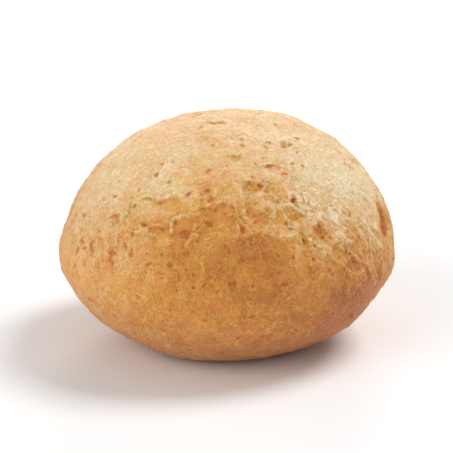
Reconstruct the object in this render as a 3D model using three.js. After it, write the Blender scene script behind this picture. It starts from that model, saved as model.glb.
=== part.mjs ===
import * as THREE from 'three';
import { SimplexNoise } from 'three/addons/math/SimplexNoise.js';
import { mergeVertices } from 'three/addons/utils/BufferGeometryUtils.js';

// Pao de queijo: a ball of baked cheese dough, all in one piece.
//
// It is round from above, a little flattened, widest below the middle, and stands on the
// flat foot that it baked on. Millimetres, +Z up, origin in the middle of the foot, and the
// front faces -Y. Every point of the crust is worked out from its direction as seen from the
// middle of the waist: the bare form first, then the dough's unevenness, then the hollows.
//
// A place on the crust is given by two angles in degrees. The azimuth is 0 at the front and
// 90 on the right (+X), and the tilt is 0 at the waist and 90 on the crown.

// Overall size and form: half an ellipse above the waist and most of another below it
const WIDTH = 60; // along X
const DEPTH = 58; // along Y
const HEIGHT = 41; // from the foot to the crown
const WAIST_HEIGHT = 17.5; // where the ball is widest
const FOOT_SHARE = 0.48; // radius of the foot over the radius of the waist
const FOOT_ROUNDING = 1.6; // length over which the side bends into the foot
const TRIANGLE_ROWS = 22; // rows of triangles along each edge of the icosahedron

// Broad swells and sags of the dough, with the height and the reach in millimetres
const SWELLS = [
  { azimuth: 84, tilt: 36, height: 0.5, reach: 12 }, // full right shoulder
  { azimuth: 97, tilt: 15, height: -0.6, reach: 7 }, // drawn in below it
  { azimuth: -86, tilt: 28, height: -1.5, reach: 14 }, // lean left shoulder
  { azimuth: -96, tilt: 16, height: -0.7, reach: 7 }, // and leaner below it
  { azimuth: -84, tilt: -30, height: -0.9, reach: 14 }, // left side tucked in above the foot
  { azimuth: -125, tilt: 66, height: -0.7, reach: 9 }, // low back left of the crown
  { azimuth: 128, tilt: 64, height: 0.8, reach: 9 },
  { azimuth: 24, tilt: 62, height: 0.4, reach: 9 },
  { azimuth: -34, tilt: 16, height: 0.35, reach: 8 },
  { azimuth: 8, tilt: 3, height: 0.4, reach: 9 },
  { azimuth: 178, tilt: 40, height: 0.8, reach: 14 },
  { azimuth: -142, tilt: 8, height: -0.6, reach: 12 },
];

// Unevenness all over: each layer of lumps has a spacing and a height
const LUMP_SEED = 11;
const LUMP_LAYERS = [
  { spacing: 17, height: 0.3 },
  { spacing: 6.5, height: 0.16 },
  { spacing: 3.4, height: 0.09 },
];

// Pits that melted cheese left on the front. The stretch makes a pit long and narrow, and the
// turn is the angle of its long side above the horizontal.
const FRONT_PITS = [
  { azimuth: -30, tilt: 82, radius: 1.5, depth: 0.5, stretch: 1.5, turn: 0 },
  { azimuth: 49, tilt: 57, radius: 1.6, depth: 0.9, stretch: 1.1, turn: 30 },
  { azimuth: 6, tilt: 55, radius: 1.7, depth: 0.6, stretch: 1.25, turn: 10 },
  { azimuth: 29, tilt: 45, radius: 1.9, depth: 0.7, stretch: 1.7, turn: -14 },
  { azimuth: 13, tilt: 39.5, radius: 1.8, depth: 0.7, stretch: 1.3, turn: 4 },
  { azimuth: -38, tilt: 42, radius: 1.3, depth: 0.55, stretch: 1.15, turn: -40 },
  { azimuth: -7, tilt: 34, radius: 1.3, depth: 0.55, stretch: 1.3, turn: 80 },
  { azimuth: 30, tilt: 32, radius: 1.5, depth: 0.9, stretch: 1.2, turn: 15 },
  { azimuth: 37, tilt: 19, radius: 2.7, depth: 0.55, stretch: 1.15, turn: 70 },
  { azimuth: -40, tilt: 27, radius: 1.3, depth: 0.55, stretch: 1.5, turn: 5 },
  { azimuth: -46, tilt: 22, radius: 1.4, depth: 0.55, stretch: 1.5, turn: 0 },
  { azimuth: -53, tilt: 9.5, radius: 1.7, depth: 0.75, stretch: 1.6, turn: -75 },
  { azimuth: -42, tilt: 9, radius: 2.1, depth: 0.55, stretch: 1.7, turn: 88 },
  { azimuth: -15, tilt: 21, radius: 1.3, depth: 0.55, stretch: 1.2, turn: 60 },
  { azimuth: 6, tilt: 23, radius: 1.3, depth: 0.55, stretch: 1.2, turn: 70 },
  { azimuth: 17, tilt: 3, radius: 1.4, depth: 0.5, stretch: 1.2, turn: 0 },
];

// Pits over the rest of the crust, spread evenly and then jittered
const PIT_SEED = 5;
const PIT_SPREAD = 84; // places on the whole ball, of which the front and the foot stay free
const PIT_JITTER = 0.16; // in radii of the ball
const PIT_RADIUS = [1.3, 2.6];
const PIT_DEPTH_SHARE = [0.28, 0.48]; // of the pit's radius
const PIT_STRETCH = [1, 1.5];
const FRONT_ANGLE = 62; // the front's pits have the crust within this angle of FRONT to themselves
const FRONT = { azimuth: 0, tilt: 30 };
const LOWEST_PIT_TILT = -22;

// Splits in the crust, each from one place to another
const SPLITS = [
  { from: [76, 22], to: [70, 6], halfWidth: 1.5, depth: 0.9 }, // near the right edge
  { from: [30, 21], to: [28, 11], halfWidth: 1.1, depth: 0.75 },
  { from: [146, 34], to: [164, 20], halfWidth: 1.5, depth: 0.9 },
  { from: [-118, 14], to: [-104, -2], halfWidth: 1.4, depth: 0.8 },
  { from: [-158, 52], to: [-176, 44], halfWidth: 1.2, depth: 0.7 },
];

// Cross-section of every hollow
const LIP_HEIGHT = 0.22; // of the hollow's depth
const LIP_PLACE = 1.3; // in half widths from the middle
const LIP_WIDTH = 0.35;

const CRUST_COLOUR = '#ddb681';
const CRUST_ROUGHNESS = 0.72;

const WAIST_RADIUS = (WIDTH + DEPTH) / 4;
const CROWN_RISE = HEIGHT - WAIST_HEIGHT;
// The belly's own height, were it to close in a point like the crown instead of on its foot
const BELLY_DROP = WAIST_HEIGHT / Math.sqrt(1 - FOOT_SHARE ** 2);

// A repeatable random number from 0 to 1 at each call (mulberry32).
function seededRandom(seed) {
  let state = seed;
  return () => {
    state = (state + 0x6d2b79f5) | 0;
    let mixed = Math.imul(state ^ (state >>> 15), 1 | state);
    mixed = (mixed + Math.imul(mixed ^ (mixed >>> 7), 61 | mixed)) ^ mixed;
    return ((mixed ^ (mixed >>> 14)) >>> 0) / 4294967296;
  };
}

function directionAt(azimuth, tilt) {
  const around = THREE.MathUtils.degToRad(azimuth);
  const up = THREE.MathUtils.degToRad(tilt);
  return new THREE.Vector3(
    Math.sin(around) * Math.cos(up),
    -Math.cos(around) * Math.cos(up),
    Math.sin(up),
  );
}

// Smaller of two lengths, rounded off where they are within the given length of each other.
function smoothMin(first, second, rounding) {
  const overlap = Math.max(rounding - Math.abs(first - second), 0) / rounding;
  return Math.min(first, second) - (overlap * overlap * rounding) / 4;
}

// Distance from the middle of the waist to the bare form, before the foot is cut flat.
function formRadius(direction) {
  const halfHeight = direction.z >= 0 ? CROWN_RISE : BELLY_DROP;
  const scaled = direction.clone().divide(new THREE.Vector3(WIDTH / 2, DEPTH / 2, halfHeight));
  return 1 / scaled.length();
}

// Depth profile of a hollow: 1 deep in the middle, level at its edge, with a low lip round it.
function hollowProfile(share) {
  const bowl = share < 1 ? (1 - share * share) ** 2 : 0;
  const lip = LIP_HEIGHT * Math.exp(-(((share - LIP_PLACE) / LIP_WIDTH) ** 2));
  return bowl - lip;
}

function swellHeight(direction) {
  let height = 0;
  for (const swell of SWELLS) {
    const distance = direction.angleTo(directionAt(swell.azimuth, swell.tilt)) * WAIST_RADIUS;
    height += swell.height * Math.exp(-((distance / swell.reach) ** 2));
  }
  return height;
}

const lumpNoise = new SimplexNoise({ random: seededRandom(LUMP_SEED) });

function lumpHeight(place) {
  let height = 0;
  for (const layer of LUMP_LAYERS) {
    const step = place.clone().divideScalar(layer.spacing);
    height += layer.height * lumpNoise.noise3d(step.x, step.y, step.z);
  }
  return height;
}

// A pit with its own two directions along the crust: along is its long side.
function placePit({ direction, radius, depth, stretch, turn }) {
  const sideways = new THREE.Vector3(-direction.y, direction.x, 0).normalize();
  const along = sideways.applyAxisAngle(direction, THREE.MathUtils.degToRad(turn));
  const across = direction.clone().cross(along);
  return { direction, along, across, length: radius * stretch, width: radius / stretch, depth };
}

function spreadPits() {
  const random = seededRandom(PIT_SEED);
  const between = ([low, high]) => low + (high - low) * random();
  const front = directionAt(FRONT.azimuth, FRONT.tilt);
  const lowest = directionAt(0, LOWEST_PIT_TILT).z;
  const goldenTurn = Math.PI * (3 - Math.sqrt(5));
  const pits = [];
  for (let i = 0; i < PIT_SPREAD; i += 1) {
    const z = 1 - (2 * i + 1) / PIT_SPREAD;
    const level = Math.sqrt(1 - z * z);
    const direction = new THREE.Vector3(
      level * Math.cos(i * goldenTurn) + PIT_JITTER * (2 * random() - 1),
      level * Math.sin(i * goldenTurn) + PIT_JITTER * (2 * random() - 1),
      z + PIT_JITTER * (2 * random() - 1),
    ).normalize();
    const radius = between(PIT_RADIUS);
    const depth = radius * between(PIT_DEPTH_SHARE);
    const stretch = between(PIT_STRETCH);
    const turn = 180 * random();
    const inFront = direction.angleTo(front) < THREE.MathUtils.degToRad(FRONT_ANGLE);
    if (!inFront && direction.z > lowest) {
      pits.push(placePit({ direction, radius, depth, stretch, turn }));
    }
  }
  return pits;
}

const pits = [
  ...FRONT_PITS.map((pit) => placePit({ ...pit, direction: directionAt(pit.azimuth, pit.tilt) })),
  ...spreadPits(),
];

function pitDepth(direction) {
  let depth = 0;
  for (const pit of pits) {
    if (direction.dot(pit.direction) > 0) {
      const offset = direction.clone().sub(pit.direction).multiplyScalar(WAIST_RADIUS);
      const share = Math.hypot(offset.dot(pit.along) / pit.length, offset.dot(pit.across) / pit.width);
      depth += pit.depth * hollowProfile(share);
    }
  }
  return depth;
}

const splits = SPLITS.map(({ from, to, halfWidth, depth }) => {
  const start = directionAt(...from);
  const end = directionAt(...to);
  return { start, run: end.clone().sub(start), halfWidth, depth };
});

// A split is deepest halfway and runs out at both ends.
function splitDepth(direction) {
  let depth = 0;
  for (const { start, run, halfWidth, depth: deepest } of splits) {
    const along = direction.clone().sub(start).dot(run) / run.lengthSq();
    const nearest = start.clone().addScaledVector(run, THREE.MathUtils.clamp(along, 0, 1));
    const distance = direction.angleTo(nearest) * WAIST_RADIUS;
    const fade = Math.max(0, 1 - (2 * along - 1) ** 4);
    depth += deepest * fade * hollowProfile(distance / halfWidth);
  }
  return depth;
}

function crustPoint(direction) {
  const bare = formRadius(direction);
  const place = direction.clone().multiplyScalar(bare);
  const relief = swellHeight(direction) + lumpHeight(place);
  const crust = bare + relief - pitDepth(direction) - splitDepth(direction);
  const trayDistance = direction.z < 0 ? WAIST_HEIGHT / -direction.z : Infinity;
  const radius = smoothMin(crust, trayDistance, FOOT_ROUNDING);
  return direction.clone().multiplyScalar(radius).add(new THREE.Vector3(0, 0, WAIST_HEIGHT));
}

// Brings the shape to its exact width, depth and height, with the foot on z = 0.
function fitToSize(geometry) {
  geometry.computeBoundingBox();
  const { min, max } = geometry.boundingBox;
  const span = max.clone().sub(min);
  geometry.translate(-(min.x + max.x) / 2, -(min.y + max.y) / 2, -min.z);
  geometry.scale(WIDTH / span.x, DEPTH / span.y, HEIGHT / span.z);
}

function crustGeometry() {
  let geometry = new THREE.IcosahedronGeometry(1, TRIANGLE_ROWS - 1);
  geometry.deleteAttribute('normal');
  geometry.deleteAttribute('uv');
  geometry = mergeVertices(geometry);
  const position = geometry.getAttribute('position');
  const direction = new THREE.Vector3();
  for (let i = 0; i < position.count; i += 1) {
    direction.fromBufferAttribute(position, i).normalize();
    const point = crustPoint(direction);
    position.setXYZ(i, point.x, point.y, point.z);
  }
  fitToSize(geometry);
  geometry.computeVertexNormals();
  return geometry;
}

function cheeseBall() {
  const crust = new THREE.MeshStandardMaterial({
    color: CRUST_COLOUR,
    roughness: CRUST_ROUGHNESS,
    metalness: 0,
  });
  const ball = new THREE.Mesh(crustGeometry(), crust);
  ball.name = 'cheese_ball';
  return ball;
}

const group = new THREE.Group();
group.add(cheeseBall());

export default group;
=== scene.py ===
"""Pao de queijo: dresses the solid of one baked cheese ball with its real crust.

The crust is a fine skin grown over the solid by two Geometry Nodes trees. The first splits and
rounds the solid's faces. The second carves the pits, the wrinkles, the folds and the torn places
of baked dough, and leaves attributes on the skin that say how toasted each place is, where a pit
lies and where the wrinkles run. The crust's material reads them.

A place on the ball is given by two angles in degrees, seen from the middle of its waist: the
azimuth is 0 at the front (-Y) and 90 on the right (+X), and the tilt is 0 at the waist and
90 on the crown.
"""

from __future__ import annotations

import logging
import math
from collections.abc import Iterable
from dataclasses import dataclass, field
from enum import Enum
from typing import Any

import bmesh
import bpy
import numpy as np
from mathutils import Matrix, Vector
from mathutils.bvhtree import BVHTree

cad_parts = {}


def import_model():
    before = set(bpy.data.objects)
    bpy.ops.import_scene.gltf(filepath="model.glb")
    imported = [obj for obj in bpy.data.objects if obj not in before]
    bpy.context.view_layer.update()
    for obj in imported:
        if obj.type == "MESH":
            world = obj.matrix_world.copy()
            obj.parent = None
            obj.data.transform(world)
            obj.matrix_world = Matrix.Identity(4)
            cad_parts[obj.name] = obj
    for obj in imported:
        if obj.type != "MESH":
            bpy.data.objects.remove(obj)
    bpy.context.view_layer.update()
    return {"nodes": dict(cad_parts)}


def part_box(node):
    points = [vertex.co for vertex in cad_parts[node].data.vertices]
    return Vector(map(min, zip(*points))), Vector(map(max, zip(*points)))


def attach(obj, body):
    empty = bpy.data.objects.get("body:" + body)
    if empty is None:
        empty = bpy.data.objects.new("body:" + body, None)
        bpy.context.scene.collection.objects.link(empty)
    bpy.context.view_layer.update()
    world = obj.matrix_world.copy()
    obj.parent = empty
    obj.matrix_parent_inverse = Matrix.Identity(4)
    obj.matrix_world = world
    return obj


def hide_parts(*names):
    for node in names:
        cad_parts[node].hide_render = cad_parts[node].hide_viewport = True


LOG = logging.getLogger("cheese_ball")

MM = 0.001
NODE = "cheese_ball"

MATH = "ShaderNodeMath"
VECTOR = "ShaderNodeVectorMath"
RANGE = "ShaderNodeMapRange"
NOISE = "ShaderNodeTexNoise"
CELLS = "ShaderNodeTexVoronoi"
MIX = "ShaderNodeMix"
PARTS = "ShaderNodeSeparateXYZ"
POSITION = "GeometryNodeInputPosition"
NORMAL = "GeometryNodeInputNormal"
BLUR = "GeometryNodeBlurAttribute"
NAMED = "GeometryNodeInputNamedAttribute"
STORE = "GeometryNodeStoreNamedAttribute"
OBJECT = "GeometryNodeObjectInfo"
MOVE = "GeometryNodeSetPosition"

# Settings of a range that starts and ends softly, and of a value stored on each point
SOFT = {"interpolation_type": "SMOOTHSTEP"}
ON_POINTS = {"data_type": "FLOAT", "domain": "POINT"}

# Ways that the dry skin is drawn out: straight up, and from the lower right to the upper left
UPRIGHT = (0.0, 0.0, 1.0)
SLANTED = (-0.461, -0.25, 0.851)


class Mark(Enum):
    """Names of the attributes that the skin carries."""

    # The toast also holds painted shade at the foot and the lower right, and painted light on the right
    # shoulder and the side edges
    TOAST = "toast"  # how browned it is
    CRINKLE = "crinkle"  # how far it is drawn into folds
    VEIN = "vein"  # how far wrinkles cross it
    BARE = "bare"  # how far the dry skin is gone
    DIP = "dip"  # how far below its surroundings the solid lies
    NEAR_PIT = "near_pit"  # 1 at a pit or a laid wrinkle
    HOLLOW = "hollow"  # how far inside a pit or dip it lies
    TINT = "tint"  # colour inside a pit, from yellow cheese to scorched
    RIDGE = "ridge"  # how pale a crest, rim or lip makes it
    # The material paints shade into the gap beside a crest
    TROUGH = "trough"  # how far in the gap beside a crest it lies


def linear(hex_colour: str) -> tuple[float, float, float, float]:
    """Turns an sRGB colour such as "#f2ddb4" into linear red, green, blue and alpha.

    Args:
        hex_colour: The colour as six hex digits after a hash sign.

    Returns:
        The linear colour with an alpha of 1.
    """
    channels = (int(hex_colour[i : i + 2], 16) / 255 for i in (1, 3, 5))
    red, green, blue = (
        c / 12.92 if c <= 0.04045 else ((c + 0.055) / 1.055) ** 2.4 for c in channels
    )
    return red, green, blue, 1.0


def direction_at(azimuth: float, tilt: float) -> Vector:
    """Gives the unit vector from the middle of the waist towards a place on the ball.

    Args:
        azimuth: Degrees round from the front, positive to the right.
        tilt: Degrees above the waist.

    Returns:
        The direction in the ball's frame.
    """
    around, up = math.radians(azimuth), math.radians(tilt)
    return Vector((math.sin(around) * math.cos(up), -math.cos(around) * math.cos(up), math.sin(up)))


class Nodes:
    """A node tree that is being built.

    Attributes:
        tree: The tree itself.
        place: The place on the skin, which its patterns are read at.
    """

    def __init__(self, tree: bpy.types.NodeTree, place: tuple[str, str] | None = None) -> None:
        """Starts on an empty tree.

        Args:
            tree: The tree.
            place: Type name and output of the node that gives the place on the skin.
        """
        tree.nodes.clear()
        self.tree = tree
        self.place = self.add(place[0]).outputs[place[1]] if place else None

    def add(
        self, kind: str, inputs: dict[int | str, Any] | None = None, **settings: Any
    ) -> bpy.types.Node:
        """Adds a node, with its settings and what goes into its sockets.

        Args:
            kind: Blender's type name of the node.
            inputs: For each socket, by name or number, a value, a socket, or a node whose first
                output in use is linked.
            **settings: Properties of the node.

        Returns:
            The new node.
        """
        node = self.tree.nodes.new(kind)
        for name, value in settings.items():
            setattr(node, name, value)
        for key, value in (inputs or {}).items():
            if isinstance(key, int):
                socket = node.inputs[key]
            else:
                socket = next(s for s in node.inputs if s.name == key and s.enabled)
            if isinstance(value, bpy.types.Node):
                value = next(s for s in value.outputs if s.enabled)
            if isinstance(value, bpy.types.NodeSocket):
                self.tree.links.new(value, socket)
            else:
                socket.default_value = value
        return node

    def spaced(self, spacing: float, place: Any = None, **inputs: Any) -> dict[str, Any]:
        """Gives a pattern's inputs, with its scale worked out from its real size.

        Args:
            spacing: Size in mm of one cell or swell of the pattern.
            place: Where the pattern is read, if not at the place on the skin.
            **inputs: The pattern's other inputs.

        Returns:
            The inputs by name.
        """
        at = self.place if place is None else place
        return {"Vector": at, "Scale": 1 / (spacing * MM), **inputs}

    def drawn_out(self, place: Any, along: tuple[float, float, float], share: float) -> bpy.types.Node:
        """Squeezes places along one way, so that a pattern read at them is drawn out that way.

        Args:
            place: The place on the skin.
            along: Unit vector of the way that the pattern is drawn out.
            share: Width of the pattern over its length.

        Returns:
            The squeezed place.
        """
        measure = self.add(VECTOR, {0: place, 1: along}, operation="DOT_PRODUCT")
        less = tuple((share - 1) * part for part in along)
        return self.add(VECTOR, {0: measure, 1: less, 2: place}, operation="MULTIPLY_ADD")

    def uneven(self, start: Any, spacing: float, swing: float, **inputs: Any) -> bpy.types.Node:
        """Adds a noise to a value, which lowers it as often as it raises it.

        Args:
            start: The value.
            spacing: Size of the noise's swells in mm.
            swing: What the noise is multiplied by.
            **inputs: The noise's other inputs.

        Returns:
            The uneven value.
        """
        noise = self.add(NOISE, self.spaced(spacing, **inputs))
        middle = self.add(MATH, {0: noise, 1: 0.5}, operation="SUBTRACT")
        return self.add(MATH, {0: middle, 1: swing, 2: start}, operation="MULTIPLY_ADD")

    def bent(
        self, start: Any, spacing: float, swing: float, detail: float = 0.0, still: float = 0.5
    ) -> bpy.types.Node:
        """Shifts a vector by a noise, so that a pattern read at it has bends.

        Args:
            start: The vector.
            spacing: Distance between the bends in mm.
            swing: What the noise is multiplied by, in the vector's own unit.
            detail: How ragged the bends are.
            still: Value of the noise that leaves the vector as it is.

        Returns:
            The shifted vector.
        """
        noise = self.add(NOISE, self.spaced(spacing, Detail=detail))
        shift = self.add(VECTOR, {0: noise.outputs["Color"], 1: (still,) * 3}, operation="SUBTRACT")
        return self.add(VECTOR, {0: shift, 1: (swing,) * 3, 2: start}, operation="MULTIPLY_ADD")


@dataclass(frozen=True)
class Ball:
    """The solid's measures, all worked out from its box in the frame.

    Attributes:
        low: Lowest corner of the box, in metres.
        high: Highest corner of the box, in metres.
        waist_share: Height of the waist over the height of the ball.
    """

    low: Vector
    high: Vector
    waist_share: float = 17.5 / 41

    @property
    def width(self) -> float:
        """Width of the ball."""
        return self.high.x - self.low.x

    @property
    def height(self) -> float:
        """Height of the ball."""
        return self.high.z - self.low.z

    @property
    def middle(self) -> Vector:
        """Middle of the box."""
        return (self.low + self.high) / 2

    @property
    def waist(self) -> Vector:
        """Middle of the waist."""
        return Vector((self.middle.x, self.middle.y, self.low.z + self.waist_share * self.height))


@dataclass(frozen=True)
class Patch:
    """A soft-edged area of the crust, such as a browned spot or a zone of wrinkles.

    Attributes:
        azimuth: Place round the ball, in degrees.
        tilt: Place above the waist, in degrees.
        reach: Distance in mm at which the patch has faded to about a third.
        strength: What the patch adds in its middle.
    """

    azimuth: float
    tilt: float
    reach: float
    strength: float


@dataclass(frozen=True)
class Tear:
    """A place where the dry skin tore and drew back from the golden dough below.

    Attributes:
        corners: Azimuth and tilt in degrees of each corner of its outline.
        bareness: Share of the skin that is gone inside.
        edge: Distance in mm over which the skin thins out, half of it on either side.
    """

    corners: tuple[tuple[float, float], ...]
    bareness: float = 1.0
    edge: float = 2.2

    def bare(self, directions: np.ndarray, radius: float) -> np.ndarray:
        """Tells how bare the dough is at each direction.

        Args:
            directions: Unit vectors from the middle of the waist, one a row.
            radius: Radius of the ball in mm.

        Returns:
            For each direction, the bareness inside, half of it on the outline, and 0 outside.
        """
        corners = np.array([direction_at(*corner) for corner in self.corners])
        middle = Vector(corners.mean(axis=0)).normalized()
        level = Vector(UPRIGHT).cross(middle).normalized()
        flat = radius * np.array([level, middle.cross(level)]).T
        places, outline = directions @ flat, corners @ flat
        inside = np.zeros(len(places), bool)
        away = np.full(len(places), np.inf)
        for start, end in zip(outline, np.roll(outline, -1, axis=0)):
            run, offset = end - start, places - start
            along = np.clip(offset @ run / (run @ run), 0, 1)
            away = np.minimum(away, np.linalg.norm(offset - along[:, None] * run, axis=1))
            crosses = (offset[:, 1] < 0) != (places[:, 1] < end[1])
            before = (offset[:, 0] * run[1] < offset[:, 1] * run[0]) == (run[1] > 0)
            inside ^= crosses & before
        inside &= directions @ np.array(middle) > 0
        share = np.clip(0.5 + np.where(inside, away, -away) / self.edge, 0, 1)
        return self.bareness * share


@dataclass(frozen=True)
class Pit:
    """One pit in the crust.

    Attributes:
        azimuth: Place round the ball, in degrees.
        tilt: Place above the waist, in degrees.
        radius: Mean radius in mm.
        depth: Depth in mm.
        tint: Colour inside, from 0 for yellow cheese to 1 for scorched brown.
        stretch: How much longer than wide the pit is.
        turn: Angle of its long side above the horizontal, in degrees.
    """

    azimuth: float
    tilt: float
    radius: float
    depth: float
    tint: float
    stretch: float = 1.0
    turn: float = 0.0


@dataclass(frozen=True)
class Courses:
    """The raised wrinkles of the front, each laid along its own course.

    Attributes:
        courses: For each wrinkle, azimuth and tilt in degrees of the places that it passes.
        step: Longest straight piece of a course, in degrees.
    """

    courses: tuple[tuple[tuple[float, float], ...], ...] = (
        ((-21, 21), (-22, 25), (-19, 27), (-15, 28)),
        ((-15, 27), (-14, 28), (-12, 31)),
        ((-14, 17), (-13, 21), (-12, 24), (-13, 25)),
        ((-11, 20), (-11, 22), (-9, 24), (-8, 26)),
        ((7, 32), (7, 29), (6, 26)),
        ((-31, 32), (-27, 33), (-23, 35), (-20, 35)),
        ((-9, 35), (-9, 32), (-5, 31), (-3, 33)),
        ((20, 43), (20, 40), (17, 37), (14, 35)),
        ((20, 43), (25, 42.5), (29, 41)),
        ((20, 49), (29, 49), (36, 46)),
        ((26, 31), (29, 29), (32, 26)),
        ((34, 42), (31, 38), (32, 35)),
        ((34, 34), (32, 31), (33, 27)),
        ((30, 20), (32, 17), (32, 14)),
        ((30, 12), (30, 10), (31, 7)),
        ((21, 36), (22, 33), (25, 31)),
        ((-36, 19), (-31, 20), (-26, 19)),
        ((-36, 22), (-30, 22), (-25, 22)),
        ((-43, 20), (-41, 24), (-43, 28)),
        ((-46, 16), (-45, 19)),
        ((-51, 13), (-48, 11), (-47, 8)),
        ((-41, 12), (-41, 16), (-37, 18)),
        ((39, 16), (40, 14), (42, 10)),
        ((42, 16), (44, 13), (45, 11)),
        ((35, 14), (36, 12), (37, 9)),
        ((45, 16), (48, 13), (51, 12)),
        ((54, 16), (56, 12), (57, 8)),
        ((47, 11), (48, 9), (50, 6)),
        ((84, 20), (81, 13), (79, 5)),
    )
    step: float = 1.5

    def build(self, surface: BVHTree, ball: Ball) -> bpy.types.Object:
        """Lays the courses on the solid's surface.

        Args:
            surface: The solid's surface, which rays from the waist are cast at.
            ball: The solid's measures.

        Returns:
            A helper with an edge for each piece of a course.
        """
        places: list[Vector] = []
        edges: list[tuple[int, int]] = []
        for course in self.courses:
            for start, end in zip(course, course[1:]):
                run = Vector(end) - Vector(start)
                pieces = math.ceil(run.length / self.step)
                for number in range(pieces + 1):
                    azimuth, tilt = Vector(start) + run * number / pieces
                    places.append(surface.ray_cast(ball.waist, direction_at(azimuth, tilt))[0])
                    if number > 0:
                        edges.append((len(places) - 2, len(places) - 1))
        mesh = bpy.data.meshes.new("courses")
        mesh.from_pydata(places, edges, [])
        helper = bpy.data.objects.new("courses", mesh)
        bpy.context.scene.collection.objects.link(helper)
        return helper


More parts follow.
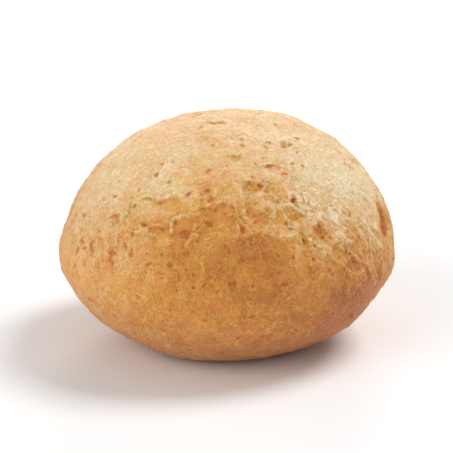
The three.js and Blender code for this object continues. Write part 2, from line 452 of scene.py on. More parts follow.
@dataclass(frozen=True)
class Baking:
    """How the oven browned and dried the crust, with some painted shade and painted light in its
    toasting.

    Attributes:
        heights: Shares of the ball's height, from the foot up.
        toasting: Toasting at each of these heights. Its rise towards the foot is partly real
            browning and partly painted shade on the lower part.
        toast_shade_and_light_patches: Browner and paler places. Some are painted shade, browner at the
            lower right, and some are painted light, paler on the right shoulder, the upper right and the
            side edges.
        crinkle_patches: Places where the skin is drawn into small upright folds.
        vein_patches: Places where raised wrinkles cross the skin.
        tears: Places on the front where the dry skin drew back from the dough below.
        bare_patches: Such places on the other sides.
    """

    # Browner towards the foot: partly real browning, partly painted shade on the lower part
    heights: tuple[float, ...] = (0.0, 0.1, 0.3, 0.48, 0.6, 0.68, 0.8, 0.9, 1.0)
    toasting: tuple[float, ...] = (0.96, 0.82, 0.72, 0.63, 0.53, 0.45, 0.32, 0.33, 0.39)
    toast_shade_and_light_patches: tuple[Patch, ...] = (
        Patch(3, 25, 12, 0.12),
        Patch(-20, 13, 9, 0.08),
        Patch(20, 8, 9, 0.09),
        # Painted shade: browner at the lower right, partly real browning of the lower crust
        Patch(46, -14, 11, 0.28),
        Patch(64, 4, 9, 0.16),
        Patch(-46, 14, 9, -0.08),
        Patch(-14, 44, 6, 0.12),
        Patch(0, 37, 5, 0.06),
        Patch(-27, 37, 5, -0.13),
        Patch(-45, 42, 12, -0.06),
        Patch(-54, 19, 4, 0.05),
        Patch(34, 18, 6, -0.14),
        Patch(46, 11, 5, 0.1),
        Patch(13, 20, 3.5, 0.07),
        Patch(-30, 22, 5, 0.06),
        Patch(0, 28, 3, -0.06),
        Patch(75, 14, 2.6, 0.45),
        # Painted light: paler on the right shoulder, the upper right and both side edges
        Patch(60, 26, 12, -0.23),
        Patch(40, 60, 9, -0.08),
        Patch(-66, 12, 12, -0.03),
        Patch(74, 18, 9, -0.15),
        Patch(150, 20, 11, 0.2),
        Patch(-150, 36, 10, 0.16),
        Patch(-110, 8, 9, 0.12),
    )
    crinkle_patches: tuple[Patch, ...] = (
        Patch(48, 20, 9, 0.9),
        Patch(56, 6, 9, 0.7),
        Patch(76, 0, 8, 0.5),
        Patch(34, 32, 7, 0.8),
        Patch(12, 34, 5, 0.5),
        Patch(-50, 14, 8, 0.35),
        Patch(140, 6, 12, 0.8),
        Patch(-130, 18, 10, 0.6),
    )
    vein_patches: tuple[Patch, ...] = (
        Patch(0, 38, 9, 0.6),
        Patch(26, 26, 8, 0.6),
        Patch(-26, 24, 9, 0.4),
        Patch(-44, 16, 7, 0.4),
        Patch(10, 6, 12, 0.4),
        Patch(44, 2, 9, 0.5),
        Patch(-58, 4, 9, 0.5),
        Patch(120, 24, 14, 0.8),
        Patch(-140, 10, 14, 0.8),
        Patch(178, 40, 12, 0.6),
    )
    tears: tuple[Tear, ...] = (
        Tear(((-33, 32), (-28, 33), (-21, 34), (-17, 31), (-16, 28), (-21, 28), (-27, 28), (-32, 28))),
        Tear(
            (
                (-21, 26), (-18, 27), (-15, 26), (-12, 28), (-11, 31), (-8, 31), (-3, 32),
                (2, 32), (4, 28), (4, 25), (3, 20), (8, 20), (14, 21), (20, 18), (27, 19),
                (25, 11), (26, -4), (20, -22), (0, -27), (-18, -20), (-23, -4), (-19, 5),
                (-20, 13), (-21, 21),
            )
        ),
        Tear(((8, 42), (16, 41), (18, 39), (14, 36), (8, 36))),
        Tear(
            (
                (8, 32), (14, 33), (16, 31), (20, 29), (25, 30), (31, 27),
                (30, 23), (23, 23), (17, 24), (12, 25), (8, 27),
            )
        ),
        Tear(((20, 41), (28, 40), (29, 35), (23, 31), (17, 33), (17, 37))),
        Tear(((34, 22), (39, 21), (41, 18), (37, 15), (32, 16)), 0.9),
        Tear(((79, 22), (76, 14), (74, 6), (68, 6), (70, 14), (73, 22))),
    )
    bare_patches: tuple[Patch, ...] = (
        Patch(-94, 8, 5, 0.7),
        Patch(130, 20, 7, 0.9),
        Patch(-122, 26, 6, 0.8),
        Patch(170, 14, 8, 1.0),
        Patch(-160, 32, 5, 0.8),
    )

    @staticmethod
    def _sum(patches: Iterable[Patch], directions: np.ndarray, radius: float) -> np.ndarray:
        """Adds up patches at each direction.

        Args:
            patches: The patches.
            directions: Unit vectors from the middle of the waist, one a row.
            radius: Radius of the ball in metres.

        Returns:
            One sum for each direction.
        """
        total = np.zeros(len(directions))
        for patch in patches:
            facing = directions @ np.array(direction_at(patch.azimuth, patch.tilt))
            distance = np.arccos(np.clip(facing, -1, 1)) * radius / (patch.reach * MM)
            total += patch.strength * np.exp(-(distance**2))
        return total

    def apply(self, mesh: bpy.types.Mesh, ball: Ball) -> None:
        """Writes toasting, crinkles, veins and bare dough to a mesh as vertex attributes.

        Args:
            mesh: The fine skin.
            ball: The solid's measures.
        """
        places = np.zeros(len(mesh.vertices) * 3, np.float32)
        mesh.vertices.foreach_get("co", places)
        places = places.reshape(-1, 3)
        rays = places - np.array(ball.waist)
        directions = rays / np.linalg.norm(rays, axis=1, keepdims=True)
        share = (places[:, 2] - ball.low.z) / ball.height
        radius = ball.width / 2
        # Toasting by height and by patch: real browning, with painted shade at the foot and the lower
        # right and painted light on the right shoulder and the side edges
        toast = np.interp(share, self.heights, self.toasting)
        toast += self._sum(self.toast_shade_and_light_patches, directions, radius)
        crinkle = self._sum(self.crinkle_patches, directions, radius)
        vein = self._sum(self.vein_patches, directions, radius)
        bare = self._sum(self.bare_patches, directions, radius)
        for tear in self.tears:
            bare = np.maximum(bare, tear.bare(directions, radius / MM))
        for mark, values in (
            (Mark.TOAST, toast),
            (Mark.CRINKLE, np.clip(crinkle, 0, 1)),
            (Mark.VEIN, np.clip(vein, 0, 1)),
            (Mark.BARE, np.clip(bare, 0, 1)),
        ):
            attribute = mesh.attributes.new(mark.value, "FLOAT", "POINT")
            attribute.data.foreach_set("value", values.astype(np.float32))


@dataclass(frozen=True)
class PitField:
    """All the pits: the named ones of the front, and pores spread over the ball by a rule.

    Attributes:
        named: The named pits.
        pores: Number of places that a pore may take.
        pore_radii: Smallest and largest radius of a pore, in mm.
        small_power: The higher it is, the more of the pores are small.
        pore_depths: Least and greatest depth of a pore over its radius.
        pore_stretch: How much longer than wide a pore is at most, less 1.
        pore_jitter: How far a pore strays, in steps between neighbours.
        calm_middle: Azimuth and tilt of the middle of the calm skin, in degrees.
        calm_angle: Angle round that middle within which the skin is calm.
        calm_share: Share of the pores that stay there.
        calm_radius: Largest radius of a pore there, in mm. No pore is deeper than one of this
            radius.
        seed: Seed of the random draws.
    """

    named: tuple[Pit, ...] = (
        Pit(-18, 83, 1.15, 0.14, 0.75, 2.0, 0),
        Pit(-46, 81, 1.15, 0.12, 0.0, 2.4, 0),
        Pit(-45, 74, 0.55, 0.12, 0.6),
        Pit(16, 66, 0.6, 0.12, 0.45),
        Pit(13, 61, 0.7, 0.12, 0.3, 1.4, 80),
        Pit(48, 57.5, 1.25, 0.24, 0.05, 1.2, 10),
        Pit(52, 56, 0.55, 0.24, 0.7),
        Pit(31, 58, 0.61, 0.12, 0.1, 1.3, 60),
        Pit(6, 55, 0.8, 0.05, 0.05, 1.9, 5),
        Pit(-12, 63, 0.49, 0.1, 0.4),
        Pit(40, 47, 0.49, 0.16, 0.5, 1.5, 30),
        Pit(46, 45, 0.49, 0.12, 0.7, 1.3, 60),
        Pit(25, 47.5, 0.7, 0.08, 0.85, 2.3, 6),
        Pit(32, 43.5, 0.79, 0.14, 0.85, 1.5, -35),
        Pit(12, 39.5, 1.4, 0.16, 0.0, 1.4, 4),
        Pit(17, 40, 0.55, 0.24, 0.75, 1.3, 0),
        Pit(30, 32, 0.7, 0.25, 0.85, 1.5, 10),
        Pit(34.5, 31, 0.49, 0.1, 0.1, 2.0, 85),
        Pit(36.5, 30, 0.37, 0.24, 0.45, 2.6, 90),
        Pit(27, 25, 0.79, 0.16, 0.2, 1.5, 0),
        Pit(25, 22, 0.43, 0.2, 0.3, 3.0, 5),
        Pit(29.5, 16.5, 0.49, 0.4, 0.45, 3.2, -76),
        Pit(37, 19, 1.1, 0.06, 0.8, 1.2, 75),
        Pit(38, 16.5, 0.49, 0.12, 0.95),
        Pit(-7, 34, 0.65, 0.12, 0.85, 1.5, 80),
        Pit(-18, 36, 0.49, 0.2, 0.15),
        Pit(-29, 31, 0.55, 0.2, 0.2, 1.2, 30),
        Pit(-35, 31, 0.73, 0.1, 0.3, 1.7, -10),
        Pit(3, 31, 0.49, 0.2, 0.7, 1.2, 0),
        Pit(-7, 25, 0.8, 0.24, 1.0, 1.4, -35),
        Pit(6, 23, 0.73, 0.24, 1.0, 1.6, 88),
        Pit(-15, 21, 1.05, 0.18, 1.0, 1.2, 60),
        Pit(1, 16, 0.55, 0.16, 0.8, 2.3, 88),
        Pit(5, 12, 0.7, 0.1, 1.0, 1.5, 0),
        Pit(-14, 14, 0.55, 0.16, 0.9),
        Pit(-19, 10, 0.55, 0.2, 0.6, 1.5, 10),
        Pit(2, 4, 0.73, 0.2, 0.9, 1.4, 0),
        Pit(20, 3, 0.79, 0.2, 0.95, 1.2, 0),
        Pit(-38, 42, 0.75, 0.16, 0.9, 1.2, -50),
        Pit(-53, 29, 0.65, 0.15, 0.9),
        Pit(-64, 18, 0.6, 0.14, 0.85),
        Pit(-40, 27, 0.9, 0.18, 0.9, 1.8, 2),
        Pit(-46, 22, 1.05, 0.18, 0.9, 2.0, 0),
        Pit(-32, 22, 0.75, 0.2, 0.9, 1.2, 0),
        Pit(-53, 9.5, 1.3, 0.2, 0.75, 2.2, -66),
        Pit(-42, 9, 1.5, 0.1, 0.9, 2.0, -82),
        Pit(-61, 7, 1.05, 0.25, 0.9, 1.6, 85),
        Pit(-59, 11, 0.95, 0.2, 0.9, 1.6, 55),
        Pit(-34, 12, 0.8, 0.16, 0.7, 1.5, 88),
        Pit(-37, 14, 0.7, 0.16, 0.7),
        Pit(-61, 1, 0.75, 0.2, 0.6),
        Pit(-27, 9, 0.9, 0.12, 1.0, 1.3, 0),
        Pit(75, 17, 1.45, 0.14, 1.0, 1.8, 104),
        Pit(73, 11, 1.35, 0.14, 1.0, 1.8, 104),
    )
    pores: int = 300
    pore_radii: tuple[float, float] = (0.32, 1.1)
    small_power: float = 2.5
    pore_depths: tuple[float, float] = (0.27, 0.63)
    pore_stretch: float = 0.8
    pore_jitter: float = 0.34
    calm_middle: tuple[float, float] = (0.0, 45.0)
    calm_angle: float = 72.0
    calm_share: float = 0.35
    calm_radius: float = 0.7
    seed: int = 23

    def _spread(self) -> list[Pit]:
        """Spreads pores evenly over all directions, then shifts, sizes and thins them.

        Returns:
            The pores that are kept.
        """
        draw = np.random.RandomState(self.seed)
        golden_turn = 180 * (3 - math.sqrt(5))
        step = math.degrees(math.sqrt(4 * math.pi / self.pores))
        least, most = self.pore_radii
        shallow, deep = self.pore_depths
        spread = []
        for number in range(self.pores):
            stray_around, stray_up = draw.uniform(-1, 1, 2) * step * self.pore_jitter
            size, depth, tint, stretch, turn, kept = draw.uniform(0, 1, 6)
            tilt = math.degrees(math.asin(1 - 2 * (number + 0.5) / self.pores)) + stray_up
            # Towards a pole a stray takes more degrees round, up to five times as many
            around = number * golden_turn + stray_around / max(0.2, math.cos(math.radians(tilt)))
            from_calm = direction_at(around, tilt).angle(direction_at(*self.calm_middle))
            calm = math.degrees(from_calm) < self.calm_angle
            if calm and kept > self.calm_share:
                continue
            largest = self.calm_radius if calm else most
            radius = least + (largest - least) * size**self.small_power
            spread.append(
                Pit(
                    azimuth=around % 360,
                    tilt=tilt,
                    radius=radius,
                    depth=min(radius, self.calm_radius) * (shallow + (deep - shallow) * depth),
                    tint=tint,
                    stretch=1 + self.pore_stretch * stretch,
                    turn=180 * turn,
                )
            )
        return spread

    @staticmethod
    def _cloud(name: str, pits: Iterable[Pit], surface: BVHTree, ball: Ball) -> bpy.types.Object:
        """Makes a helper object with one loose point for each pit.

        Args:
            name: Name of the helper.
            pits: The pits.
            surface: The solid's surface, which rays from the waist are cast at.
            ball: The solid's measures.

        Returns:
            The helper, with an attribute for each measure of a pit.
        """
        places: list[Vector] = []
        alongs: list[Vector] = []
        for pit in pits:
            hit, normal, _, _ = surface.ray_cast(ball.waist, direction_at(pit.azimuth, pit.tilt))
            level = Vector(UPRIGHT).cross(normal).normalized()
            upward = normal.cross(level)
            turn = math.radians(pit.turn)
            places.append(hit)
            alongs.append(level * math.cos(turn) + upward * math.sin(turn))
        mesh = bpy.data.meshes.new(name)
        mesh.from_pydata(places, [], [])
        for measure, scale in (("radius", MM), ("depth", MM), ("tint", 1), ("stretch", 1)):
            attribute = mesh.attributes.new(measure, "FLOAT", "POINT")
            values = [getattr(pit, measure) * scale for pit in pits]
            attribute.data.foreach_set("value", values)
        attribute = mesh.attributes.new("along", "FLOAT_VECTOR", "POINT")
        attribute.data.foreach_set("vector", [part for along in alongs for part in along])
        helper = bpy.data.objects.new(name, mesh)
        bpy.context.scene.collection.objects.link(helper)
        return helper

    def build(self, surface: BVHTree, ball: Ball) -> dict[str, bpy.types.Object]:
        """Places all the pits on the solid's surface.

        Args:
            surface: The solid's surface.
            ball: The solid's measures.

        Returns:
            The helpers of the named pits and of the pores, by the name of their input.
        """
        return {
            "Pits": self._cloud("pits", self.named, surface, ball),
            "Pores": self._cloud("pores", self._spread(), surface, ball),
        }


class CrustTree(Nodes):
    """A Geometry Nodes tree with named inputs, set on a piece by their identifiers.

    Attributes:
        values: What each input is set to.
        given: The inputs, as the tree's nodes read them.
        foot_height: Height up to which faces belong to the flat foot, in metres.
    """

    foot_height: float = 0.01 * MM

    def __init__(self, name: str, values: dict[str, Any]) -> None:
        """Makes the tree with its inputs.

        Args:
            name: Name of the tree.
            values: Value of each input: an object, a count, or a size in metres.
        """
        super().__init__(bpy.data.node_groups.new(name, "GeometryNodeTree"), (POSITION, "Position"))
        self.values = values
        sockets = self.tree.interface
        for way in ("INPUT", "OUTPUT"):
            sockets.new_socket("Geometry", in_out=way, socket_type="NodeSocketGeometry")
        for title, value in values.items():
            kind = {int: "Int", float: "Float"}.get(type(value), "Object")
            sockets.new_socket(title, in_out="INPUT", socket_type=f"NodeSocket{kind}")
        self.given = self.add("NodeGroupInput").outputs

    def away(self, title: str, element: str, place: Any) -> bpy.types.NodeSocket:
        """Measures how far a place is from a helper.

        Args:
            title: Name of the input with the helper.
            element: Which parts of the helper count: "POINTS" or "EDGES".
            place: The place.

        Returns:
            The distance.
        """
        helper = self.add(OBJECT, {"Object": self.given[title]}).outputs["Geometry"]
        where = {"Geometry": helper, "Sample Position": place}
        return self.add("GeometryNodeProximity", where, target_element=element).outputs["Distance"]

    def nearest(self, title: str, measures: Iterable[str]) -> dict[str, bpy.types.Node]:
        """Reads measures of the pit that is nearest to each place on the skin.

        Args:
            title: Name of the input with the cloud of pits.
            measures: Names of the measures.

        Returns:
            The measures by name.
        """
        points = self.add(OBJECT, {"Object": self.given[title]}).outputs["Geometry"]
        where = {"Geometry": points, "Sample Position": self.place}
        index = self.add("GeometryNodeSampleNearest", where)
        found = {}
        for measure in measures:
            kind = "FLOAT_VECTOR" if measure in ("position", "along") else "FLOAT"
            value = self.add(NAMED, {"Name": measure}, data_type=kind)
            sampled = {"Geometry": points, "Value": value, "Index": index}
            found[measure] = self.add("GeometryNodeSampleIndex", sampled, data_type=kind)
        return found

    def near_half(self, value: Any, reach: float) -> bpy.types.Node:
        """Measures how near a value is to a half.

        Args:
            value: The value.
            reach: How far from a half the result has fallen to nothing.

        Returns:
            A value that rises evenly to 1 where the given one is a half.
        """
        middle = self.add(MATH, {0: value, 1: 0.5}, operation="SUBTRACT")
        away = self.add(MATH, {0: middle}, operation="ABSOLUTE")
        return self.add(RANGE, {"Value": away, "From Min": reach, "From Max": 0.0})

    def finish(self, geometry: Any, material: bpy.types.Material) -> None:
        """Ends the tree with smooth faces above the flat foot, real geometry and the material.

        Args:
            geometry: The node that gives the geometry.
            material: The finish.
        """
        up = self.add(PARTS, {0: self.place}).outputs["Z"]
        above = self.add(MATH, {0: up, 1: self.foot_height}, operation="GREATER_THAN")
        smooth = self.add("GeometryNodeSetShadeSmooth", {"Geometry": geometry, "Shade Smooth": above})
        real = self.add("GeometryNodeRealizeInstances", {"Geometry": smooth})
        dressed = self.add("GeometryNodeSetMaterial", {"Geometry": real, "Material": material})
        self.add("NodeGroupOutput", {"Geometry": dressed})

    def grow(self, mesh: bpy.types.Mesh, most_faces: int | None = None) -> bpy.types.Mesh:
        """Runs the tree on a mesh.

        Args:
            mesh: The mesh to start from, which is removed.
            most_faces: Most faces that the result may have. Faces go first where the surface
                is even.

        Returns:
            The tree's result as a plain mesh.
        """
        holder = bpy.data.objects.new(self.tree.name, mesh)
        bpy.context.scene.collection.objects.link(holder)
        modifier = holder.modifiers.new(self.tree.name, "NODES")
        modifier.node_group = self.tree
        for item in self.tree.interface.items_tree:
            if item.in_out == "INPUT" and item.name in self.values:
                modifier[item.identifier] = self.values[item.name]
        if most_faces is not None:
            thinned = holder.modifiers.new("thinned", "DECIMATE")
            thinned.ratio = min(1.0, most_faces / len(mesh.polygons))
        depsgraph = bpy.context.evaluated_depsgraph_get()
        grown = bpy.data.meshes.new_from_object(holder.evaluated_get(depsgraph))
        bpy.data.objects.remove(holder)
        bpy.data.meshes.remove(mesh)
        return grown


@dataclass(frozen=True)
class FineSkin:
    """The solid's surface with finer, rounded faces.

    Attributes:
        levels: How often each face is split in four.
        rounding: Steps of blurring that round the solid's edges off.
        local_blur: Steps of blurring that find the solid's own dips.
        wide_blur: Steps that take the form's curve out of these dips.
        pit_margin: How far round a pit the faces are split once more, in mm.
        course_margin: How far beside a laid wrinkle they are split once more, in mm.
    """

    levels: int = 2
    rounding: int = 9
    local_blur: int = 8
    wide_blur: int = 14
    pit_margin: float = 0.3
    course_margin: float = 0.5

    def build(
        self,
        start: bpy.types.Mesh,
        helpers: dict[str, bpy.types.Object],
        material: bpy.types.Material,
    ) -> bpy.types.Mesh:
        """Splits and rounds the solid's faces, with finer ones at pits and laid wrinkles.

        Args:
            start: The solid's mesh, doubles merged.
            helpers: The pits, the pores and the courses.
            material: The crust's finish.

        Returns:
            The fine skin.
        """
        skin = CrustTree(
            "fine_skin",
            {
                **helpers,
                "Levels": self.levels,
                "Rounding": self.rounding,
                "Local Blur": self.local_blur,
                "Wide Blur": self.wide_blur,
                "Pit Margin": self.pit_margin * MM,
                "Course Margin": self.course_margin * MM,
            },
        )
        even, rounded = (
            skin.add(
                BLUR,
                {"Value": skin.place, "Iterations": skin.given[steps]},
                data_type="FLOAT_VECTOR",
            )
            for steps in ("Local Blur", "Rounding")
        )
        below = skin.add(VECTOR, {0: even, 1: skin.place}, operation="SUBTRACT")
        depth = skin.add(VECTOR, {0: below, 1: skin.add(NORMAL)}, operation="DOT_PRODUCT")
        usual = skin.add(BLUR, {"Value": depth, "Iterations": skin.given["Wide Blur"]})
        dip = skin.add(MATH, {0: depth, 1: usual}, operation="SUBTRACT")
        dipped = {"Geometry": skin.given["Geometry"], "Name": Mark.DIP.value, "Value": dip}
        marked = skin.add(STORE, dipped, **ON_POINTS)
        split = skin.add("GeometryNodeSubdivideMesh", {"Mesh": marked, "Level": skin.given["Levels"]})
        fine = skin.add(MOVE, {"Geometry": split, "Position": rounded})
        beside = skin.away("Courses", "EDGES", skin.place)
        near_any = skin.add(MATH, {0: beside, 1: skin.given["Course Margin"]}, operation="LESS_THAN")
        for title in ("Pits", "Pores"):
            pit = skin.nearest(title, ("radius", "stretch"))
            longer = skin.add(MATH, {0: pit["stretch"]}, operation="SQRT")
            sizes = {0: pit["radius"], 1: longer, 2: skin.given["Pit Margin"]}
            reach = skin.add(MATH, sizes, operation="MULTIPLY_ADD")
            away = skin.away(title, "POINTS", skin.place)
            near = skin.add(MATH, {0: away, 1: reach}, operation="LESS_THAN")
            near_any = skin.add(MATH, {0: near, 1: near_any}, operation="MAXIMUM")
        noted = {"Geometry": fine, "Name": Mark.NEAR_PIT.value, "Value": near_any}
        skin.finish(skin.add(STORE, noted, **ON_POINTS), material)
        return self._split_near_pits(skin.grow(start))

    @staticmethod
    def _split_near_pits(mesh: bpy.types.Mesh) -> bpy.types.Mesh:
        """Splits the marked faces once more, and keeps the surface closed.

        Args:
            mesh: The skin, which is changed.

        Returns:
            The same mesh.
        """
        work = bmesh.new()
        work.from_mesh(mesh)
        near = work.verts.layers.float[Mark.NEAR_PIT.value]
        edges = [edge for edge in work.edges if all(vert[near] > 0.5 for vert in edge.verts)]
        bmesh.ops.subdivide_edges(work, edges=edges, cuts=1, use_grid_fill=True)
        bmesh.ops.triangulate(work, faces=[face for face in work.faces if len(face.verts) > 3])
        work.to_mesh(mesh)
        work.free()
        return mesh


@dataclass(frozen=True)
class Crests:
    """Thin, winding crests: the lines along which a noise has its middle value.

    Attributes:
        spacing: Name of the input with the distance between crests.
        along: Unit vector of the way that they are drawn out.
        slimness: Width of their pattern over its length.
        reach: How far from its middle value the noise still gives a crest.
        gap_reach: Reach of the gap beside a crest over the crest's own.
    """

    spacing: str
    along: tuple[float, float, float]
    slimness: float
    reach: float
    gap_reach: float = 2.6

    def draw(self, crust: CrustTree) -> tuple[bpy.types.Node, bpy.types.Node]:
        """Draws the crests.

        Args:
            crust: The tree being built.

        Returns:
            How far on a crest each place is, and how far in the gap beside it.
        """
        scale = crust.add(MATH, {0: 1.0, 1: crust.given[self.spacing]}, operation="DIVIDE")
        drawn = crust.drawn_out(crust.place, self.along, self.slimness)
        noise = crust.add(NOISE, {"Vector": drawn, "Scale": scale, "Detail": 1.5, "Distortion": 0.5})
        crest = crust.near_half(noise, self.reach)
        wide = crust.near_half(noise, self.gap_reach * self.reach)
        return crest, crust.add(MATH, {0: wide, 1: crest}, operation="SUBTRACT")


@dataclass(frozen=True)
class LaidWrinkles:
    """The laid wrinkles, each a ragged thread along its course. Lengths are in mm.

    Attributes:
        bend_spacing: Distance between a thread's bends.
        swing: How far the bends swing.
        knot_spacing: Distance between its thick places.
        knot_edge: Values of a noise at its thin and at its thick places.
        reaches: Reach of a thin and of a thick place from the thread's middle.
        gap: Distances from the middle at which the gap beside it is deepest and ends.
    """

    bend_spacing: float = 2.6
    swing: float = 1.0
    knot_spacing: float = 0.9
    knot_edge: tuple[float, float] = (0.3, 0.7)
    reaches: tuple[float, float] = (0.1, 0.9)
    gap: tuple[float, float] = (0.5, 1.5)

    def draw(self, crust: CrustTree) -> tuple[bpy.types.Node, bpy.types.Node]:
        """Draws the threads.

        Args:
            crust: The tree being built.

        Returns:
            How far on a thread each place is, and how far in the gap beside it.
        """
        bent = crust.bent(crust.place, self.bend_spacing, self.swing * MM, detail=2.0)
        away = crust.away("Courses", "EDGES", bent)
        knots = crust.add(NOISE, crust.spaced(self.knot_spacing, Detail=0.0))
        slack, knotted = self.knot_edge
        thin, thick, deepest, end = (size * MM for size in (*self.reaches, *self.gap))
        swelling = {"Value": knots, "From Min": slack, "From Max": knotted}
        reach = crust.add(RANGE, {**swelling, "To Min": thin, "To Max": thick})
        crest = crust.add(RANGE, {"Value": away, "From Min": reach, "From Max": 0.0}, **SOFT)
        wide = crust.add(RANGE, {"Value": away, "From Min": end, "From Max": deepest})
        return crest, crust.add(MATH, {0: wide, 1: crest}, operation="SUBTRACT")


@dataclass(frozen=True)
class TornSkin:
    """The bare places' ragged edge, and the rim where the skin drew back.

    Attributes:
        spacing: Distance in mm between the bays of the edge.
        swing: How far the noise moves the edge, as bareness.
        edge: Bareness between which the dough goes from covered to open.
        heights: Heights in mm between which the dough goes from level to sunk, with a rim.
        rim_place: Bareness by which the rim lies outside the edge.
        rim_reach: Bareness over which the rim falls to nothing on either side.
        rim_least: Share of the rim that is left where thin lines break off.
        rim_share: How pale and high the rim is, over a ridge.
    """

    spacing: float = 2.4
    swing: float = 0.7
    edge: tuple[float, float] = (0.4, 0.6)
    heights: tuple[float, float] = (12.0, 30.0)
    rim_place: float = 0.18
    rim_reach: float = 0.17
    rim_least: float = 0.3
    rim_share: float = 0.8

    def draw(self, crust: CrustTree, there: Any) -> tuple[bpy.types.Node, bpy.types.Node]:
        """Draws the bare places.

        Args:
            crust: The tree being built.
            there: Where thin lines are whole.

        Returns:
            How far the bare dough has sunk at each place, and how far on a rim it is.
        """
        start = crust.add(NAMED, {"Name": Mark.BARE.value}, data_type="FLOAT")
        bare = crust.uneven(start, self.spacing, self.swing, Detail=2.0)
        covered, opened = self.edge
        torn = crust.add(RANGE, {"Value": bare, "From Min": covered, "From Max": opened}, **SOFT)
        up = crust.add(PARTS, {0: crust.place}).outputs["Z"]
        low, high = (height * MM for height in self.heights)
        upper = crust.add(RANGE, {"Value": up, "From Min": low, "From Max": high})
        sunk = crust.add(MATH, {0: torn, 1: upper}, operation="MULTIPLY")
        outer = crust.add(MATH, {0: bare, 1: self.rim_place}, operation="ADD")
        seen = crust.add(RANGE, {"Value": there, "To Min": self.rim_least, "To Max": 1.0})
        rim = crust.near_half(outer, self.rim_reach)
        for share in (seen, upper, self.rim_share):
            rim = crust.add(MATH, {0: rim, 1: share}, operation="MULTIPLY")
        return sunk, rim


@dataclass(frozen=True)
class Pebbles:
    """Low round pebbles that the drying skin drew into, each a cell of the skin.

    Attributes:
        smoothness: How softly the cells run into each other.
        foot: Distance from a cell's middle at which its pebble begins, over the spacing.
        top: Distance within which it has its full height, over the spacing.
    """

    smoothness: float = 0.4
    foot: float = 0.65
    top: float = 0.05

    def draw(self, crust: CrustTree) -> bpy.types.Node:
        """Draws the pebbles.

        Args:
            crust: The tree being built.

        Returns:
            How far up a pebble each place is.
        """
        scale = crust.add(MATH, {0: 1.0, 1: crust.given["Pebble Spacing"]}, operation="DIVIDE")
        cells = {"Vector": crust.place, "Scale": scale, "Smoothness": self.smoothness}
        away = crust.add(CELLS, cells, feature="SMOOTH_F1").outputs["Distance"]
        return crust.add(RANGE, {"Value": away, "From Min": self.foot, "From Max": self.top}, **SOFT)


@dataclass(frozen=True)
class PitShape:
    """The form of a pit. Distances are from the pit's middle, over its radius.

    Attributes:
        bends: Spacing in mm and swing of each layer of bends in its outline.
        wall: Distances of the wall's upper and lower edge.
        lip: Distances at which the lip starts, is highest and ends.
        lip_height: Height of the lip over the pit's depth.
        tinted: Distances at which the pit's tint starts and is whole.
    """

    bends: tuple[tuple[float, float], ...] = ((1.6, 1.5), (0.7, 0.9))
    wall: tuple[float, float] = (1.1, 0.35)
    lip: tuple[float, float, float] = (0.85, 1.25, 2.0)
    lip_height: float = 0.25
    tinted: tuple[float, float] = (3.0, 1.3)

    def draw(self, crust: CrustTree, title: str) -> dict[str, bpy.types.Node]:
        """Measures each place on the skin against the nearest pit of a cloud.

        Args:
            crust: The tree being built.
            title: Name of the input with the cloud.

        Returns:
            The height that the pit gives the skin, how far inside it the place is (from 0
            outside to 1 in the middle), how near round it, how far on its lip, and the
            pit's tint.
        """
        pit = crust.nearest(title, ("position", "radius", "depth", "tint", "stretch", "along"))
        offset = crust.add(VECTOR, {0: crust.place, 1: pit["position"]}, operation="SUBTRACT")
        inverse = crust.add(MATH, {0: 1.0, 1: pit["radius"]}, operation="DIVIDE")
        share = crust.add(VECTOR, {0: offset, "Scale": inverse}, operation="SCALE")
        for spacing, swing in self.bends:
            share = crust.bent(share, spacing, swing)
        length = crust.add(VECTOR, {0: share, 1: pit["along"]}, operation="DOT_PRODUCT")
        total = crust.add(VECTOR, {0: share, 1: share}, operation="DOT_PRODUCT")
        length_square = crust.add(MATH, {0: length, 1: length}, operation="MULTIPLY")
        width_square = crust.add(MATH, {0: total, 1: length_square}, operation="SUBTRACT")
        slim = crust.add(MATH, {0: length_square, 1: pit["stretch"]}, operation="DIVIDE")
        squares = {0: width_square, 1: pit["stretch"], 2: slim}
        away = crust.add(MATH, {0: crust.add(MATH, squares, operation="MULTIPLY_ADD")}, operation="SQRT")
        lip_start, lip_top, lip_end = self.lip
        inside, rise, fall = (
            crust.add(RANGE, {"Value": away, "From Min": none, "From Max": whole}, **SOFT)
            for none, whole in (self.wall, (lip_start, lip_top), (lip_end, lip_top))
        )
        lip = crust.add(MATH, {0: rise, 1: fall}, operation="MULTIPLY")
        none, whole = self.tinted
        raised = crust.add(MATH, {0: lip, 1: self.lip_height}, operation="MULTIPLY")
        profile = crust.add(MATH, {0: raised, 1: inside}, operation="SUBTRACT")
        return {
            "height": crust.add(MATH, {0: profile, 1: pit["depth"]}, operation="MULTIPLY"),
            "inside": inside,
            "round": crust.add(RANGE, {"Value": away, "From Min": none, "From Max": whole}),
            "lip": lip,
            "tint": pit["tint"],
        }


@dataclass(frozen=True)
class Dips:
    """The solid's own dips, with a crisp, uneven edge. Lengths are in mm.

    Attributes:
        blur: Steps of blurring that even out the dips' depth.
        spacing: Distance between the bays of the edge.
        swing: Depth by which a noise moves the edge.
        edge: Depths at which a dip begins and is whole.
    """

    blur: int = 4
    spacing: float = 2.2
    swing: float = 0.12
    edge: tuple[float, float] = (0.07, 0.22)

    def draw(self, crust: CrustTree) -> bpy.types.Node:
        """Draws the dips.

        Args:
            crust: The tree being built.

        Returns:
            How far inside a dip each place is.
        """
        dip = crust.add(NAMED, {"Name": Mark.DIP.value}, data_type="FLOAT")
        even = crust.add(BLUR, {"Value": dip, "Iterations": self.blur})
        noise = crust.add(NOISE, crust.spaced(self.spacing, Detail=2.0))
        shift = crust.add(RANGE, {"Value": noise, "To Min": -self.swing * MM, "To Max": self.swing * MM})
        uneven = crust.add(MATH, {0: even, 1: shift}, operation="ADD")
        start, whole = (depth * MM for depth in self.edge)
        return crust.add(RANGE, {"Value": uneven, "From Min": start, "From Max": whole}, **SOFT)


